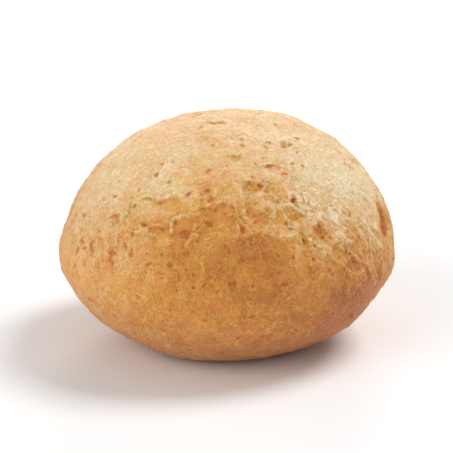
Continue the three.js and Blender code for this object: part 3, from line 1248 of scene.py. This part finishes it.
@dataclass(frozen=True)
class Relief:
    """What stands out from the skin or lies in it. Lengths are in mm.

    Attributes:
        foot_flat: Height up to which the foot has no relief.
        foot_fade: Height at which the relief is whole.
        dip_depth: How much deeper the solid's own dips get.
        dip_hollow: How much a dip counts as the inside of a pit, for the colours.
        wrinkle_spacing: Distance between the thin raised wrinkles.
        wrinkle_height: Height of these wrinkles.
        wrinkle_everywhere: Share of the wrinkles that also crosses the calm skin.
        break_spacing: Distance between the places where thin lines break off.
        break_edge: Values of a noise between which they go from broken off to whole.
        fold_spacing: Distance between the small upright folds.
        fold_height: Height of these folds.
        fold_everywhere: Share of the folds that also crosses the calm skin.
        fold_share: How pale a fold is, over a wrinkle.
        laid_height: Height of a laid wrinkle over another's.
        laid_share: How pale a laid wrinkle is, over another.
        gap_depth: Depth of the gap beside a wrinkle or fold over its height.
        pebble_spacing: Distance between the pebbles that the drying skin drew into.
        pebble_height: Height of these pebbles.
        bare_depth: How far the bare dough lies below the skin.
        rim_height: Height of the rim where the skin drew back.
        lip_share: How pale the lip of a pit is, over a ridge.
        lumps: Size and height of each layer of lumps.
        most_faces: Most faces of the finished crust.
        wrinkles: Course of the wrinkles.
        folds: Course of the folds.
        laid: Form of the laid wrinkles.
        torn: Edge and rim of the bare places.
        pebbles: Form of the pebbles.
        pit: Form of the pits and pores.
        dips: Edge of the dips.
    """

    foot_flat: float = 0.3
    foot_fade: float = 3.0
    dip_depth: float = 0.06
    dip_hollow: float = 0.35
    wrinkle_spacing: float = 3.2
    wrinkle_height: float = 0.26
    wrinkle_everywhere: float = 0.1
    break_spacing: float = 5.0
    break_edge: tuple[float, float] = (0.42, 0.58)
    fold_spacing: float = 1.7
    fold_height: float = 0.24
    fold_everywhere: float = 0.15
    fold_share: float = 0.85
    laid_height: float = 0.75
    laid_share: float = 0.68
    gap_depth: float = 0.5
    pebble_spacing: float = 1.5
    pebble_height: float = 0.2
    bare_depth: float = 0.1
    rim_height: float = 0.16
    lip_share: float = 0.6
    lumps: tuple[tuple[float, float], ...] = ((4.0, 0.3), (1.7, 0.2), (0.95, 0.12))
    most_faces: int = 196_000
    wrinkles: Crests = Crests("Wrinkle Spacing", UPRIGHT, 0.6, 0.06)
    folds: Crests = Crests("Fold Spacing", SLANTED, 0.42, 0.12)
    laid: LaidWrinkles = LaidWrinkles()
    torn: TornSkin = TornSkin()
    pebbles: Pebbles = Pebbles()
    pit: PitShape = PitShape()
    dips: Dips = Dips()

    def build(
        self,
        skin: bpy.types.Mesh,
        helpers: dict[str, bpy.types.Object],
        material: bpy.types.Material,
    ) -> bpy.types.Mesh:
        """Carves the skin and stores what its material reads.

        Args:
            skin: The fine skin.
            helpers: The pits, the pores and the courses.
            material: The crust's finish.

        Returns:
            The finished crust.
        """
        crust = CrustTree(
            "crust_relief",
            {
                **helpers,
                "Foot Fade": self.foot_fade * MM,
                "Dip Depth": self.dip_depth * MM,
                "Wrinkle Spacing": self.wrinkle_spacing * MM,
                "Wrinkle Height": self.wrinkle_height * MM,
                "Fold Spacing": self.fold_spacing * MM,
                "Fold Height": self.fold_height * MM,
                "Pebble Spacing": self.pebble_spacing * MM,
                "Pebble Height": self.pebble_height * MM,
                "Bare Depth": self.bare_depth * MM,
                "Rim Height": self.rim_height * MM,
            },
        )
        shapes = self._shapes(crust)
        height = self._height(crust, shapes)
        shift = crust.add(VECTOR, {0: crust.add(NORMAL), "Scale": height}, operation="SCALE")
        # The skin moves after it is marked, so its height reads the bareness from the marks
        marked = crust.given["Geometry"]
        for mark, value in self._marks(crust, shapes).items():
            stored = {"Geometry": marked, "Name": mark.value, "Value": value}
            marked = crust.add(STORE, stored, **ON_POINTS)
        crust.finish(crust.add(MOVE, {"Geometry": marked, "Offset": shift}), material)
        return crust.grow(skin, self.most_faces)

    def _shapes(self, crust: CrustTree) -> dict[str, Any]:
        """Draws all that the relief is made of.

        Args:
            crust: The tree being built.

        Returns:
            By the name of each shape, how far on or in it each place is. The pit and the pore
            have a dictionary of their own, and "there" tells where thin lines are whole.
        """
        pit, pore = (self.pit.draw(crust, title) for title in ("Pits", "Pores"))
        where = crust.add(NOISE, crust.spaced(self.break_spacing, Detail=1.0))
        broken, whole = self.break_edge
        there = crust.add(RANGE, {"Value": where, "From Min": broken, "From Max": whole}, **SOFT)
        wrinkled = self._zone(crust, Mark.VEIN, self.wrinkle_everywhere)
        shown = crust.add(MATH, {0: there, 1: wrinkled}, operation="MULTIPLY")
        folded = self._zone(crust, Mark.CRINKLE, self.fold_everywhere)
        laid, laid_gap = self.laid.draw(crust)
        sunk, rim = self.torn.draw(crust, there)
        shapes = {
            "pit": pit,
            "pore": pore,
            "there": there,
            "dip": self.dips.draw(crust),
            "laid": laid,
            "laid gap": laid_gap,
            "sunk": sunk,
            "rim": rim,
        }
        wrinkle, wrinkle_gap = self.wrinkles.draw(crust)
        fold, fold_gap = self.folds.draw(crust)
        for name, part, zone in (
            ("wrinkle", wrinkle, shown),
            ("wrinkle gap", wrinkle_gap, shown),
            ("fold", fold, folded),
            ("fold gap", fold_gap, folded),
            ("pebble", self.pebbles.draw(crust), folded),
        ):
            shapes[name] = crust.add(MATH, {0: part, 1: zone}, operation="MULTIPLY")
        return shapes

    @staticmethod
    def _zone(crust: CrustTree, mark: Mark, everywhere: float) -> bpy.types.Node:
        """Reads the strength of a zone, which is never less than a share of its full strength."""
        zone = crust.add(NAMED, {"Name": mark.value}, data_type="FLOAT")
        return crust.add(RANGE, {"Value": zone, "To Min": everywhere, "To Max": 1.0})

    def _height(self, crust: CrustTree, shapes: dict[str, Any]) -> bpy.types.Node:
        """Adds up the heights of all shapes.

        Args:
            crust: The tree being built.
            shapes: How far on or in each shape each place is.

        Returns:
            How far each place stands out from the skin, in metres.
        """
        pit, pore = shapes["pit"], shapes["pore"]
        clear = crust.add(MATH, {0: 1.0, 1: pit["inside"]}, operation="SUBTRACT")
        both = {0: pore["height"], 1: clear, 2: pit["height"]}
        height = crust.add(MATH, both, operation="MULTIPLY_ADD")
        for name, part, size in (
            ("dip", -1.0, "Dip Depth"),
            ("wrinkle", 1.0, "Wrinkle Height"),
            ("wrinkle gap", -self.gap_depth, "Wrinkle Height"),
            ("laid", self.laid_height, "Wrinkle Height"),
            ("laid gap", -self.gap_depth, "Wrinkle Height"),
            ("fold", 1.0, "Fold Height"),
            ("fold gap", -self.gap_depth, "Fold Height"),
            ("pebble", 1.0, "Pebble Height"),
            ("sunk", -1.0, "Bare Depth"),
            ("rim", 1.0, "Rim Height"),
        ):
            full = crust.add(MATH, {0: crust.given[size], 1: part}, operation="MULTIPLY")
            height = crust.add(MATH, {0: shapes[name], 1: full, 2: height}, operation="MULTIPLY_ADD")
        for spacing, size in self.lumps:
            height = crust.uneven(height, spacing, size * MM, Detail=0.0)
        up = crust.add(PARTS, {0: crust.place}).outputs["Z"]
        fade = {"Value": up, "From Min": self.foot_flat * MM, "From Max": crust.given["Foot Fade"]}
        standing = crust.add(RANGE, fade, **SOFT)
        return crust.add(MATH, {0: height, 1: standing}, operation="MULTIPLY")

    def _marks(self, crust: CrustTree, shapes: dict[str, Any]) -> dict[Mark, Any]:
        """Works out what the material reads.

        Args:
            crust: The tree being built.
            shapes: How far on or in each shape each place is.

        Returns:
            The values to store, in this order. The bareness comes last, because the other marks
            read it as the baking left it.
        """
        pit, pore = shapes["pit"], shapes["pore"]
        holes = crust.add(MATH, {0: pit["inside"], 1: pore["inside"]}, operation="MAXIMUM")
        dipped = {0: shapes["dip"], 1: self.dip_hollow, 2: holes}
        lip = crust.add(MATH, {0: pit["lip"], 1: pore["lip"]}, operation="MAXIMUM")
        for share in (self.lip_share, shapes["there"]):
            lip = crust.add(MATH, {0: lip, 1: share}, operation="MULTIPLY")
        fold = crust.add(MATH, {0: shapes["fold"], 1: self.fold_share}, operation="MULTIPLY")
        laid = crust.add(MATH, {0: shapes["laid"], 1: self.laid_share}, operation="MULTIPLY")
        ridge, trough = shapes["wrinkle"], shapes["wrinkle gap"]
        for other in (fold, laid, shapes["rim"], lip):
            ridge = crust.add(MATH, {0: ridge, 1: other}, operation="MAXIMUM")
        for other in (shapes["fold gap"], shapes["laid gap"]):
            trough = crust.add(MATH, {0: trough, 1: other}, operation="MAXIMUM")
        return {
            Mark.HOLLOW: crust.add(MATH, dipped, operation="MULTIPLY_ADD"),
            Mark.TINT: crust.add(MIX, {"Factor": pit["round"], "A": pore["tint"], "B": pit["tint"]}),
            Mark.RIDGE: ridge,
            Mark.TROUGH: trough,
            Mark.BARE: shapes["sunk"],
        }


@dataclass(frozen=True)
class Fibres:
    """Short pale fibres of drier skin, which lie any way but mostly upright. Lengths are in mm.

    Attributes:
        spacing: Distance between fibres.
        slimness: Width of a fibre over its length.
        bend_spacing: Distance between their bends.
        swing: How far the bends swing.
        edge: Values of a noise between which a fibre starts and is whole.
        zone_spacing: Distance between places with many fibres.
        zone_edge: Values of a noise between which fibres go from few to many.
        zone_least: Share of the fibres where they are few.
    """

    spacing: float = 1.0
    slimness: float = 0.35
    bend_spacing: float = 3.5
    swing: float = 6.0
    edge: tuple[float, float] = (0.54, 0.66)
    zone_spacing: float = 5.0
    zone_edge: tuple[float, float] = (0.35, 0.6)
    zone_least: float = 0.3

    def draw(self, nodes: Nodes) -> bpy.types.Node:
        """Draws the fibres.

        Args:
            nodes: The material's tree.

        Returns:
            How far on a fibre each place is.
        """
        bent = nodes.bent(nodes.place, self.bend_spacing, self.swing * MM, detail=1.0, still=0.0)
        upright = nodes.drawn_out(bent, UPRIGHT, self.slimness)
        noise = nodes.add(NOISE, nodes.spaced(self.spacing, upright, Detail=2.0, Roughness=0.6))
        where = nodes.add(NOISE, nodes.spaced(self.zone_spacing, Detail=1.0))
        start, whole = self.edge
        few, many = self.zone_edge
        line = nodes.add(RANGE, {"Value": noise, "From Min": start, "From Max": whole}, **SOFT)
        zone = {"Value": where, "From Min": few, "From Max": many, "To Min": self.zone_least}
        return nodes.add(MATH, {0: line, 1: nodes.add(RANGE, zone, **SOFT)}, operation="MULTIPLY")


@dataclass(frozen=True)
class Freckles:
    """A layer of small uneven spots, at most one in each cell of the skin.

    Attributes:
        spacing: Size of a cell in mm.
        share: Share of the cells with a spot.
        radius: Radius of the largest spot over the spacing.
        toasting: Toasting that a spot adds.
        edge: Width of a spot's soft edge over the spacing.
        swing: How far a spot's outline swings, over the spacing.
    """

    spacing: float
    share: float
    radius: float
    toasting: float
    edge: float = 0.12
    swing: float = 0.4

    def draw(self, nodes: Nodes) -> tuple[bpy.types.Node, bpy.types.NodeSocket]:
        """Draws the spots.

        Args:
            nodes: The material's tree.

        Returns:
            How far in a spot each place is, and a random value for each cell.
        """
        swing = self.swing * self.spacing * MM
        bent = nodes.bent(nodes.place, self.spacing / 2, swing, detail=1.0, still=0.0)
        cell = nodes.add(CELLS, nodes.spaced(self.spacing, bent)).outputs
        chance = nodes.add("ShaderNodeSeparateColor", {0: cell["Color"]}).outputs
        few = {"Value": chance[0], "From Min": 1 - self.share, "To Min": 0.0, "To Max": self.radius}
        size = nodes.add(RANGE, few)
        core = nodes.add(MATH, {0: size, 1: self.edge}, operation="SUBTRACT")
        inside = {"Value": cell["Distance"], "From Min": size, "From Max": core}
        return nodes.add(RANGE, inside, **SOFT), chance[1]


@dataclass(frozen=True)
class Grain:
    """The fine grain: a leathery net of creases, combed lines in the folds, and sand.

    Attributes:
        cell: Size in mm of a cell of the net.
        crease_width: Width of a crease over the size of a cell.
        crease_depth: Depth of a crease over the grain's height.
        bend_spacing: Distance in mm between the bends of net and lines.
        swing: How far the bends swing, in mm.
        comb_spacing: Distance in mm between the combed lines.
        comb_slimness: Width of a combed line over its length.
        comb_height: Height of a combed line over the grain's height.
        height: Height of the grain in mm. It is too fine for the mesh.
        strength: Share of the grain that shows.
    """

    cell: float = 1.3
    crease_width: float = 0.12
    crease_depth: float = 0.2
    bend_spacing: float = 1.5
    swing: float = 1.2
    comb_spacing: float = 0.9
    comb_slimness: float = 0.3
    comb_height: float = 1.2
    height: float = 0.5
    strength: float = 0.8

    def draw(
        self, nodes: Nodes, crinkle: Any, details: Iterable[tuple[Any, float]]
    ) -> bpy.types.Node:
        """Bends the light as the grain does.

        Args:
            nodes: The material's tree.
            crinkle: How far the skin is drawn into folds.
            details: How far on each other detail each place is, and that detail's height over
                the grain's.

        Returns:
            The bumped normal.
        """
        bent = nodes.bent(nodes.place, self.bend_spacing, self.swing * MM, detail=1.0, still=0.0)
        cell = nodes.add(CELLS, nodes.spaced(self.cell, bent), feature="DISTANCE_TO_EDGE")
        edge = {"Value": cell, "From Min": self.crease_width, "From Max": 0.0}
        crease = nodes.add(RANGE, edge, **SOFT)
        slanted = nodes.drawn_out(bent, SLANTED, self.comb_slimness)
        comb = nodes.add(NOISE, nodes.spaced(self.comb_spacing, slanted, Detail=1.0))
        combed = nodes.add(MATH, {0: comb, 1: crinkle}, operation="MULTIPLY")
        height = nodes.add(MATH, {0: crease, 1: -self.crease_depth}, operation="MULTIPLY")
        for share, change in (*details, (combed, self.comb_height)):
            height = nodes.add(MATH, {0: share, 1: change, 2: height}, operation="MULTIPLY_ADD")
        sizes = {"Height": height, "Strength": self.strength, "Distance": self.height * MM}
        return nodes.add("ShaderNodeBump", sizes)


@dataclass(frozen=True)
class BakedCrust:
    """Baked cassava and cheese dough: a thin, dry, slightly leathery skin, browned by the oven.

    One value, how toasted each place is, gives the colour. All marks on the skin change it:
    fibres of drier skin are paler, and blotches, freckles and the edges of pits are browner.
    The gaps beside crests are painted darker, as painted shade, and the sand grain is painted
    darker in its low places and lighter on its high ones, as painted shade and painted light.

    Attributes:
        stages: Toasting, with the dough's colours where it is pink and where it is yellow.
        unevenness: Spacing in mm and swing of each layer of uneven toasting.
        blotch_spacing: Distance between blotches in mm.
        blotch_edge: Values of a noise between which a blotch starts and is whole.
        blotch: Toasting that a blotch adds.
        hue_spacing: Distance between pinker and yellower places in mm.
        hue_edge: Values of a noise for pink and for yellow dough.
        pale: Toasting that the palest fibre or crest takes away.
        fibre: Paleness of a fibre, as a share of that.
        ridge: Paleness of a ridge beside its crest, as a share of that.
        crest_edge: How much of a ridge its crest begins at and is whole at.
        trough: Toasting that the trough between folds adds: painted shade in the crease beside a crest.
        bare: Toasting of the bare golden dough over that of the skin.
        bare_yellow: How much more yellow than the skin the bare dough is.
        halo: Toasting that a pit adds round its edge.
        cheese: Melted cheese in a pit.
        scorched: A pit that browned.
        pit_edge: How far in a pit its colour starts and is whole.
        pit_cover: Share of the dough's colour that the pit's colour takes up.
        sand_spacing: Distance between the grains of the sandy surface in mm, which are drawn
            coarser than the real ones so that they show.
        sand_edge: Values of a noise at its low and its high places.
        sand_painted_shading: Brightness of its low and its high places: painted shade in the low places
            and painted light on the high ones.
        bump: Heights of sand, fibres, freckles and crests over the grain's.
        roughness: Roughness of the dry skin.
        sheen: Tint of the soft shine of the floury skin at a low angle.
        fibres: The fibres.
        freckles: The layers of freckles.
        grain: The fine grain.
    """

    stages: tuple[tuple[float, str, str], ...] = (
        (0.0, "#f4dcba", "#f1dbb0"),
        (0.2, "#efcb9e", "#ebcd95"),
        (0.4, "#e9b47c", "#e4b773"),
        (0.6, "#e09c53", "#dba049"),
        (0.8, "#d38337", "#ce872d"),
        (1.0, "#b96529", "#b46a21"),
    )
    unevenness: tuple[tuple[float, float], ...] = ((9.0, 0.34), (3.0, 0.3), (1.2, 0.26))
    blotch_spacing: float = 3.6
    blotch_edge: tuple[float, float] = (0.55, 0.62)
    blotch: float = 0.08
    hue_spacing: float = 2.5
    hue_edge: tuple[float, float] = (0.34, 0.66)
    pale: float = 0.34
    fibre: float = 0.7
    ridge: float = 0.4
    crest_edge: tuple[float, float] = (0.45, 0.8)
    trough: float = 0.14
    bare: float = 0.2
    bare_yellow: float = 0.75
    halo: float = 0.12
    cheese: str = "#cb9426"
    scorched: str = "#c4631a"
    pit_edge: tuple[float, float] = (0.05, 0.95)
    pit_cover: float = 0.8
    sand_spacing: float = 0.5
    sand_edge: tuple[float, float] = (0.3, 0.7)
    sand_painted_shading: tuple[float, float] = (0.82, 1.18)
    bump: tuple[float, float, float, float] = (1.0, 0.3, -0.3, 0.3)
    roughness: float = 0.58
    sheen: str = "#fff3df"
    fibres: Fibres = Fibres()
    freckles: tuple[Freckles, ...] = (
        Freckles(2.6, 0.6, 0.26, 0.4),
        Freckles(1.3, 0.45, 0.3, 0.28),
    )
    grain: Grain = Grain()

    def build(self) -> bpy.types.Material:
        """Builds the material.

        Returns:
            The crust's material, which reads the skin's attributes and Object coordinates.
        """
        material = bpy.data.materials.new("baked_cheese_dough")
        material.use_nodes = True
        nodes = Nodes(material.node_tree, ("ShaderNodeTexCoord", "Object"))
        marks = {
            mark: nodes.add("ShaderNodeAttribute", attribute_name=mark.value).outputs["Fac"]
            for mark in Mark
            if mark not in (Mark.VEIN, Mark.DIP, Mark.NEAR_PIT)
        }
        start, whole = self.crest_edge
        crest_range = {"Value": marks[Mark.RIDGE], "From Min": start, "From Max": whole}
        crest = nodes.add(RANGE, crest_range, **SOFT)
        fibre = self.fibres.draw(nodes)
        toast, yellow, spots = self._baking(nodes, marks)
        pale = crest
        for share, part in ((fibre, self.fibre), (marks[Mark.RIDGE], self.ridge)):
            shade = nodes.add(MATH, {0: share, 1: part}, operation="MULTIPLY")
            pale = nodes.add(MATH, {0: pale, 1: shade}, operation="MAXIMUM")
        for share, change in (
            (pale, -self.pale),
            # Painted shade: the trough beside a crest is made browner
            (marks[Mark.TROUGH], self.trough),
            (marks[Mark.BARE], self.bare),
            (marks[Mark.HOLLOW], self.halo),
        ):
            toast = nodes.add(MATH, {0: share, 1: change, 2: toast}, operation="MULTIPLY_ADD")
        # Painted shade and painted light: the sand noise, which also bumps the skin, darkens the colour
        # in its low places and lightens it on its high ones
        low, high = self.sand_edge
        dark, bright = self.sand_painted_shading
        sand = nodes.add(NOISE, nodes.spaced(self.sand_spacing, Detail=2.0, Roughness=0.6))
        sanded = {"Value": sand, "From Min": low, "From Max": high, "To Min": dark, "To Max": bright}
        shade = nodes.add(RANGE, sanded)
        colour = self._colour(nodes, toast, yellow, marks)
        painted_shading_colour = nodes.add(VECTOR, {0: colour, "Scale": shade}, operation="SCALE")
        details = zip((sand, fibre, spots, crest), self.bump)
        # Light sinks a little way into the dough, and the floury skin shines softly round its edge
        finish = {
            "Base Color": painted_shading_colour,
            "Roughness": self.roughness,
            "IOR": 1.45,
            "Subsurface Weight": 0.12,
            "Subsurface Radius": (1.0, 0.55, 0.25),
            "Subsurface Scale": 2.0 * MM,
            "Sheen Weight": 0.25,
            "Sheen Roughness": 0.45,
            "Sheen Tint": linear(self.sheen),
            "Normal": self.grain.draw(nodes, marks[Mark.CRINKLE], details),
        }
        surface = nodes.add("ShaderNodeBsdfPrincipled", finish)
        nodes.add("ShaderNodeOutputMaterial", {"Surface": surface})
        return material

    def _baking(self, nodes: Nodes, marks: dict[Mark, Any]) -> tuple[Any, Any, Any]:
        """Makes the toasting uneven, with blotches and freckles.

        Args:
            nodes: The material's tree.
            marks: The skin's attributes.

        Returns:
            The uneven toasting, how yellow each place is, and how far in a freckle.
        """
        toast = marks[Mark.TOAST]
        for spacing, swing in self.unevenness:
            toast = nodes.uneven(toast, spacing, swing, Detail=2.0, Roughness=0.6)
        noise = nodes.add(NOISE, nodes.spaced(self.blotch_spacing, Detail=3.0))
        start, whole = self.blotch_edge
        blotch = nodes.add(RANGE, {"Value": noise, "From Min": start, "From Max": whole}, **SOFT)
        toast = nodes.add(MATH, {0: blotch, 1: self.blotch, 2: toast}, operation="MULTIPLY_ADD")
        hue = nodes.add(NOISE, nodes.spaced(self.hue_spacing, Detail=2.0))
        start, whole = self.hue_edge
        yellow = nodes.add(RANGE, {"Value": hue, "From Min": start, "From Max": whole})
        golden = nodes.add(MATH, {0: marks[Mark.BARE], 1: self.bare_yellow}, operation="MULTIPLY")
        yellow = nodes.add(MIX, {"Factor": golden, "A": yellow, "B": 1.0})
        spots: Any = 0.0
        for layer in self.freckles:
            spot, chance = layer.draw(nodes)
            toast = nodes.add(MATH, {0: spot, 1: layer.toasting, 2: toast}, operation="MULTIPLY_ADD")
            yellow = nodes.add(MIX, {"Factor": spot, "A": yellow, "B": chance})
            spots = nodes.add(MATH, {0: spots, 1: spot}, operation="MAXIMUM")
        return toast, yellow, spots

    def _colour(self, nodes: Nodes, toast: Any, yellow: Any, marks: dict[Mark, Any]) -> bpy.types.Node:
        """Turns toasting into the dough's colour, with the pits' own colours inside them.

        Args:
            nodes: The material's tree.
            toast: How toasted each place is.
            yellow: How yellow it is.
            marks: The skin's attributes.

        Returns:
            The colour.
        """
        doughs = []
        for side in (1, 2):
            ramp = nodes.add("ShaderNodeValToRGB", {"Fac": toast})
            stops = ramp.color_ramp.elements
            stops.remove(stops[-1])
            for number, stage in enumerate(self.stages):
                stop = stops[0] if number == 0 else stops.new(stage[0])
                stop.position = stage[0]
                stop.color = linear(stage[side])
            doughs.append(ramp)
        dough = nodes.add(MIX, {"Factor": yellow, "A": doughs[0], "B": doughs[1]}, data_type="RGBA")
        pit = {"Factor": marks[Mark.TINT], "A": linear(self.cheese), "B": linear(self.scorched)}
        inner = nodes.add(MIX, pit, data_type="RGBA")
        start, whole = self.pit_edge
        inside = {"Value": marks[Mark.HOLLOW], "From Min": start, "From Max": whole}
        deep = nodes.add(RANGE, {**inside, "To Max": self.pit_cover}, **SOFT)
        return nodes.add(MIX, {"Factor": deep, "A": dough, "B": inner}, data_type="RGBA")


@dataclass
class Crust:
    """The ball's whole visible skin.

    Attributes:
        ball: The solid's measures.
        solid: The CAD node that the skin stands for.
        baking: Where the crust is brown and where it is wrinkled.
        pits: The pits and the pores.
        courses: The laid wrinkles.
        fine_skin: The solid's surface with finer faces.
        relief: What stands out from the skin.
        finish: The crust's material.
        double_reach: Distance in mm within which two corners of the solid's mesh are one.
    """

    ball: Ball
    solid: bpy.types.Object
    baking: Baking = field(default_factory=Baking)
    pits: PitField = field(default_factory=PitField)
    courses: Courses = field(default_factory=Courses)
    fine_skin: FineSkin = field(default_factory=FineSkin)
    relief: Relief = field(default_factory=Relief)
    finish: BakedCrust = field(default_factory=BakedCrust)
    double_reach: float = 0.001

    def _merged_solid(self) -> bpy.types.Mesh:
        """Copies the solid's mesh and merges its doubles.

        Returns:
            The copy.
        """
        mesh = bpy.data.meshes.new("crust_start")
        work = bmesh.new()
        work.from_mesh(self.solid.data)
        bmesh.ops.remove_doubles(work, verts=work.verts, dist=self.double_reach * MM)
        work.to_mesh(mesh)
        work.free()
        return mesh

    def build(self) -> bpy.types.Object:
        """Grows the skin and puts it in the solid's place.

        Returns:
            The finished piece.
        """
        start = self._merged_solid()
        surface = BVHTree.FromPolygons(
            [vertex.co for vertex in start.vertices],
            [polygon.vertices for polygon in start.polygons],
        )
        helpers = self.pits.build(surface, self.ball)
        helpers["Courses"] = self.courses.build(surface, self.ball)
        material = self.finish.build()
        mesh = self.fine_skin.build(start, helpers, material)
        self.baking.apply(mesh, self.ball)
        mesh = self.relief.build(mesh, helpers, material)
        mesh.name = "crust"
        piece = bpy.data.objects.new("crust", mesh)
        bpy.context.scene.collection.objects.link(piece)
        for helper in helpers.values():
            bpy.data.objects.remove(helper)
        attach(piece, "root")
        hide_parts(NODE)
        LOG.info("crust: %d vertices, %d faces", len(mesh.vertices), len(mesh.polygons))
        return piece


@dataclass(frozen=True)
class SoftSun:
    """A wide, far light, which lights the floor evenly and gives soft shadows.

    Attributes:
        name: Name of the light.
        azimuth: Side that it shines from, in degrees.
        tilt: Height that it shines from, in degrees.
        spread: Width of the light as seen from the ball, in degrees.
        strength: Strength of the light.
    """

    name: str
    azimuth: float
    tilt: float
    spread: float
    strength: float

    def build(self) -> None:
        """Hangs the light."""
        data = bpy.data.lights.new(self.name, "SUN")
        data.angle = math.radians(self.spread)
        data.energy = self.strength
        light = bpy.data.objects.new(self.name, data)
        light.rotation_mode = "QUATERNION"
        light.rotation_quaternion = (-direction_at(self.azimuth, self.tilt)).to_track_quat("-Z", "Y")
        bpy.context.scene.collection.objects.link(light)


@dataclass(frozen=True)
class Studio:
    """A pale floor, soft lights, a white backdrop and the camera.

    Attributes:
        ball: The solid's measures.
        elevation: Camera's angle above the horizon, in degrees.
        lens: Focal length in mm.
        sensor: Width of the sensor in mm.
        ball_share: Width of the ball over the width of the frame.
        floor_radius: Radius of the floor in metres.
        floor_corners: Number of corners of the round floor.
        floor_colour: Colour of the floor.
        sky_strength: Strength of the light from all round.
        lights: The lights.
    """

    ball: Ball
    elevation: float = 18.0
    lens: float = 180.0
    sensor: float = 36.0
    ball_share: float = 0.74
    floor_radius: float = 6.0
    floor_corners: int = 64
    floor_colour: str = "#f2f2f2"
    sky_strength: float = 0.4
    lights: tuple[SoftSun, ...] = (
        SoftSun("key_sun", 114, 55, 28, 1.92),
        SoftSun("fill_sun", -52, 26, 50, 1.4),
        SoftSun("rim_sun", 176, 18, 20, 0.95),
        SoftSun("left_sun", -125, 15, 30, 0.3),
    )

    def build(self) -> None:
        """Builds the whole studio."""
        self._floor()
        self._sky()
        for light in self.lights:
            light.build()
        self._camera()
        bpy.context.scene.view_settings.view_transform = "Standard"
        LOG.info("studio: %d lights", len(self.lights))

    def _floor(self) -> None:
        """Lays the round floor that the ball stands on."""
        turn = 2 * math.pi / self.floor_corners
        rim = [
            (self.floor_radius * math.cos(i * turn), self.floor_radius * math.sin(i * turn), 0.0)
            for i in range(self.floor_corners)
        ]
        mesh = bpy.data.meshes.new("floor")
        mesh.from_pydata(rim, [], [list(range(self.floor_corners))])
        # Matt white paper: almost no gloss, so that only the ball's shadow shows on it
        material = bpy.data.materials.new("white_paper_floor")
        material.use_nodes = True
        shader = material.node_tree.nodes["Principled BSDF"]
        shader.inputs["Base Color"].default_value = linear(self.floor_colour)
        shader.inputs["Roughness"].default_value = 0.9
        mesh.materials.append(material)
        floor = bpy.data.objects.new("floor", mesh)
        floor.location.z = self.ball.low.z
        bpy.context.scene.collection.objects.link(floor)

    def _sky(self) -> None:
        """Sets the even light from all round, behind which the backdrop is plain white."""
        world = bpy.data.worlds.new("studio")
        world.use_nodes = True
        nodes = Nodes(world.node_tree)
        seen = nodes.add("ShaderNodeLightPath").outputs["Is Camera Ray"]
        light, backdrop = (
            nodes.add("ShaderNodeBackground", {"Color": linear("#ffffff"), "Strength": strength})
            for strength in (self.sky_strength, 1.0)
        )
        both = nodes.add("ShaderNodeMixShader", {0: seen, 1: light, 2: backdrop})
        nodes.add("ShaderNodeOutputWorld", {"Surface": both})
        bpy.context.scene.world = world

    def _camera(self) -> None:
        """Places the camera in front of the ball, looking down on it."""
        data = bpy.data.cameras.new("camera")
        data.lens = self.lens
        data.sensor_width = self.sensor
        camera = bpy.data.objects.new("camera", data)
        distance = self.ball.width / self.ball_share * self.lens / self.sensor
        towards = direction_at(0, self.elevation)
        camera.location = self.ball.middle + towards * distance
        camera.rotation_mode = "QUATERNION"
        camera.rotation_quaternion = (-towards).to_track_quat("-Z", "Y")
        bpy.context.scene.collection.objects.link(camera)
        bpy.context.scene.camera = camera


def main() -> None:
    """Loads the frame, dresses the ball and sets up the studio."""
    logging.basicConfig(level=logging.INFO, format="%(name)s: %(message)s")
    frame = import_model()
    ball = Ball(*(Vector(corner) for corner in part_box(NODE)))
    Crust(ball, frame["nodes"][NODE]).build()
    Studio(ball).build()


if __name__ == "__main__":
    main()
